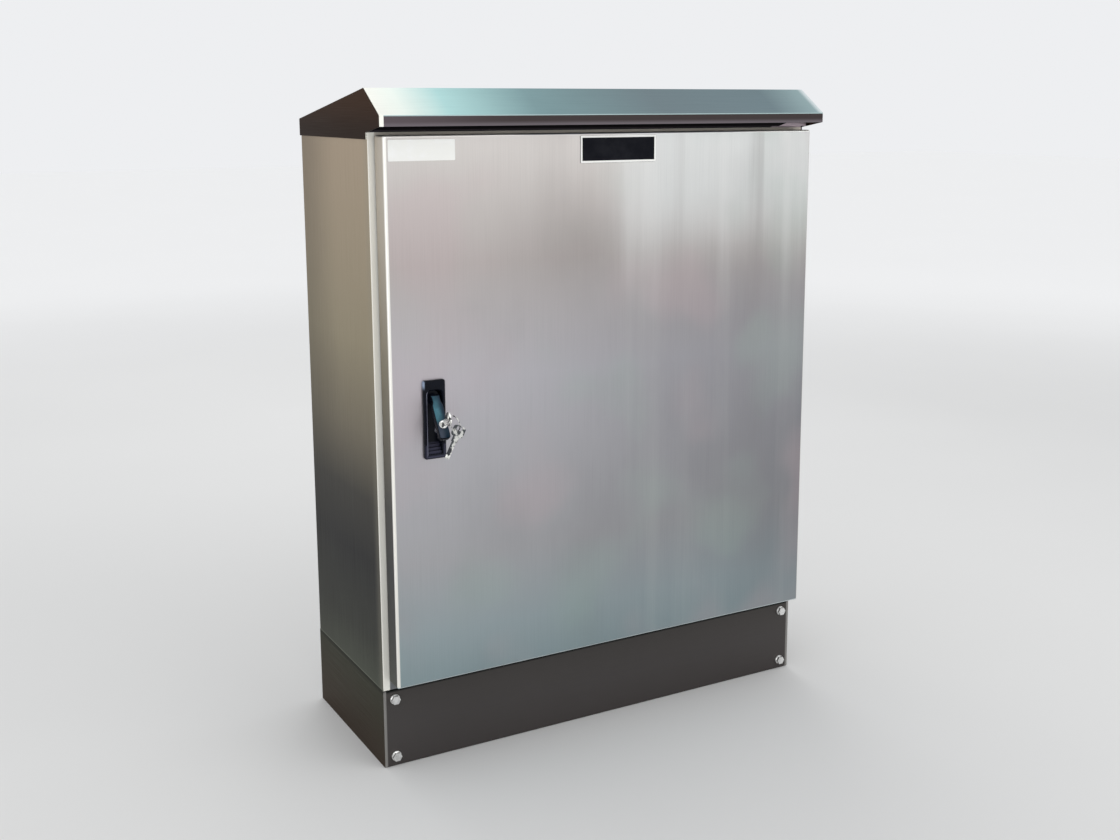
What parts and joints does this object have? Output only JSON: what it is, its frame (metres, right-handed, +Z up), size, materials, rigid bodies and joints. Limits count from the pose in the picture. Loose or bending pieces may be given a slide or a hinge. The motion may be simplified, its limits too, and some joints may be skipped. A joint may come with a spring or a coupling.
{
  "type": "outdoor distribution board",
  "caption": "Floor-standing stainless cabinet for electrical distribution, with a rain hood, a bolted plinth, a door with a swing handle and rod lock, and breakers behind a cover.",
  "frame": {"origin": "on the floor, in the middle of the four floor bolts", "axes": "+X to the hinge side of the door, +Y to the back wall, +Z up; the door faces -Y"},
  "size_m": [0.803, 0.4056, 1.06],
  "materials": {
    "stainless": "brushed",
    "hood_stainless": "brushed",
    "plinth_steel": "brushed",
    "fastener_steel": "satin",
    "zinc_steel": "zinc plated",
    "seal_rubber": "matte",
    "switch_case": "matte",
    "breaker_case": "matte",
    "toggle_plastic": "satin",
    "copper": "copper, plain",
    "brass_bar": "plain",
    "insulator": "matte",
    "cover_paint": "light grey paint",
    "knob_plastic": "matte",
    "handle_plastic": "satin black",
    "lock_chrome": "polished",
    "key_metal": "polished"
  },
  "bodies": {
    "cabinet": {"cabinet_shell": "stainless", "roof_hood": "hood_stainless", "hood_bolts": "fastener_steel", "plinth_side_left": "plinth_steel", "plinth_side_right": "plinth_steel", "plinth_back": "plinth_steel", "plinth_front_cover": "plinth_steel", "plinth_cover_bolts": "fastener_steel", "plinth_body_bolts": "fastener_steel", "gland_plate_seal": "seal_rubber", "gland_plate": "zinc_steel", "gland_plate_screws": "fastener_steel", "mounting_studs": "fastener_steel", "mounting_plate": "zinc_steel", "mounting_nuts": "fastener_steel", "breaker_rail": "zinc_steel", "main_switch": "switch_case", "busbar_l1": "copper", "busbar_l2": "copper", "busbar_l3": "copper", "busbar_supports": "insulator", "neutral_bar": "brass_bar", "earth_bar": "brass_bar", "bar_insulators": "insulator", "dead_front": "cover_paint", "dead_front_posts": "fastener_steel", "dead_front_screws": "knob_plastic", "hinge_body_leaves": "fastener_steel", "hinge_pins": "fastener_steel", "breaker_1": "breaker_case", "breaker_2": "breaker_case", "breaker_3": "breaker_case", "breaker_4": "breaker_case", "breaker_5": "breaker_case", "breaker_6": "breaker_case"},
    "door": {"door_panel": "stainless", "door_seal": "seal_rubber", "hinge_door_leaves": "fastener_steel", "handle_dish": "handle_plastic", "dish_clamp": "zinc_steel", "rod_guides": "zinc_steel"},
    "handle_swing": {"handle_hub": "handle_plastic", "lever_pin": "fastener_steel", "latch_cam": "zinc_steel"},
    "rod_upper": {"rod_upper": "zinc_steel"},
    "rod_lower": {"rod_lower": "zinc_steel"},
    "lever": {"lever": "handle_plastic", "lock_barrel": "lock_chrome"},
    "key": {"lock_plug": "lock_chrome", "key": "key_metal"},
    "key_ring": {"key_ring": "key_metal", "spare_key": "key_metal"},
    "main_switch_toggle": {"main_switch_toggle": "toggle_plastic"},
    "breaker_toggle_1": {"breaker_toggle_1": "toggle_plastic"},
    "breaker_toggle_2": {"breaker_toggle_2": "toggle_plastic"},
    "breaker_toggle_3": {"breaker_toggle_3": "toggle_plastic"},
    "breaker_toggle_4": {"breaker_toggle_4": "toggle_plastic"},
    "breaker_toggle_5": {"breaker_toggle_5": "toggle_plastic"},
    "breaker_toggle_6": {"breaker_toggle_6": "toggle_plastic"}
  },
  "joints": [
    {"name": "door_hinge", "type": "hinge", "parent": "cabinet", "child": "door", "pos_m": [0.384, -0.165, 0.568], "axis": [0, 0, 1], "range_deg": [0, 110]},
    {"name": "lever_swing", "type": "hinge", "parent": "door", "child": "handle_swing", "pos_m": [-0.32, -0.193, 0.6], "axis": [0, -1, 0], "range_deg": [0, 90]},
    {"name": "rod_upper_slide", "type": "slide", "parent": "door", "child": "rod_upper", "axis": [0, 0, -1], "range_m": [0, 0.0198]},
    {"name": "rod_lower_slide", "type": "slide", "parent": "door", "child": "rod_lower", "axis": [0, 0, 1], "range_m": [0, 0.0198]},
    {"name": "lever_lift", "type": "hinge", "parent": "handle_swing", "child": "lever", "pos_m": [-0.32, -0.19, 0.6], "axis": [-1, 0, 0], "range_deg": [-32, 8]},
    {"name": "key_turn", "type": "hinge", "parent": "lever", "child": "key", "pos_m": [-0.32, -0.21438, 0.56099], "axis": [0, -0.848, 0.5299], "range_deg": [0, 90]},
    {"name": "key_ring_hang", "type": "hinge", "parent": "key", "child": "key_ring", "pos_m": [-0.32, -0.24524, 0.57992], "axis": [-1, 0, 0], "range_deg": [-10, 35]},
    {"name": "main_switch_tilt", "type": "hinge", "parent": "cabinet", "child": "main_switch_toggle", "pos_m": [0, 0.06, 0.81], "axis": [-1, 0, 0], "range_deg": [0, 44]},
    {"name": "breaker_toggle_1_tilt", "type": "hinge", "parent": "cabinet", "child": "breaker_toggle_1", "pos_m": [-0.135, 0.056, 0.56], "axis": [-1, 0, 0], "range_deg": [0, 44]},
    {"name": "breaker_toggle_2_tilt", "type": "hinge", "parent": "cabinet", "child": "breaker_toggle_2", "pos_m": [-0.081, 0.056, 0.56], "axis": [-1, 0, 0], "range_deg": [0, 44]},
    {"name": "breaker_toggle_3_tilt", "type": "hinge", "parent": "cabinet", "child": "breaker_toggle_3", "pos_m": [-0.027, 0.056, 0.56], "axis": [-1, 0, 0], "range_deg": [0, 44]},
    {"name": "breaker_toggle_4_tilt", "type": "hinge", "parent": "cabinet", "child": "breaker_toggle_4", "pos_m": [0.027, 0.056, 0.56], "axis": [-1, 0, 0], "range_deg": [0, 44]},
    {"name": "breaker_toggle_5_tilt", "type": "hinge", "parent": "cabinet", "child": "breaker_toggle_5", "pos_m": [0.081, 0.056, 0.56], "axis": [-1, 0, 0], "range_deg": [0, 44]},
    {"name": "breaker_toggle_6_tilt", "type": "hinge", "parent": "cabinet", "child": "breaker_toggle_6", "pos_m": [0.135, 0.056, 0.56], "axis": [-1, 0, 0], "range_deg": [0, 44]}
  ],
  "couplings": [
    {"joint": "rod_upper_slide", "follows": "lever_swing", "m_per_rad": 0.0126},
    {"joint": "rod_lower_slide", "follows": "lever_swing", "m_per_rad": 0.0126},
    {"joint": "key_ring_hang", "follows": "lever_lift", "ratio": -1}
  ]
}
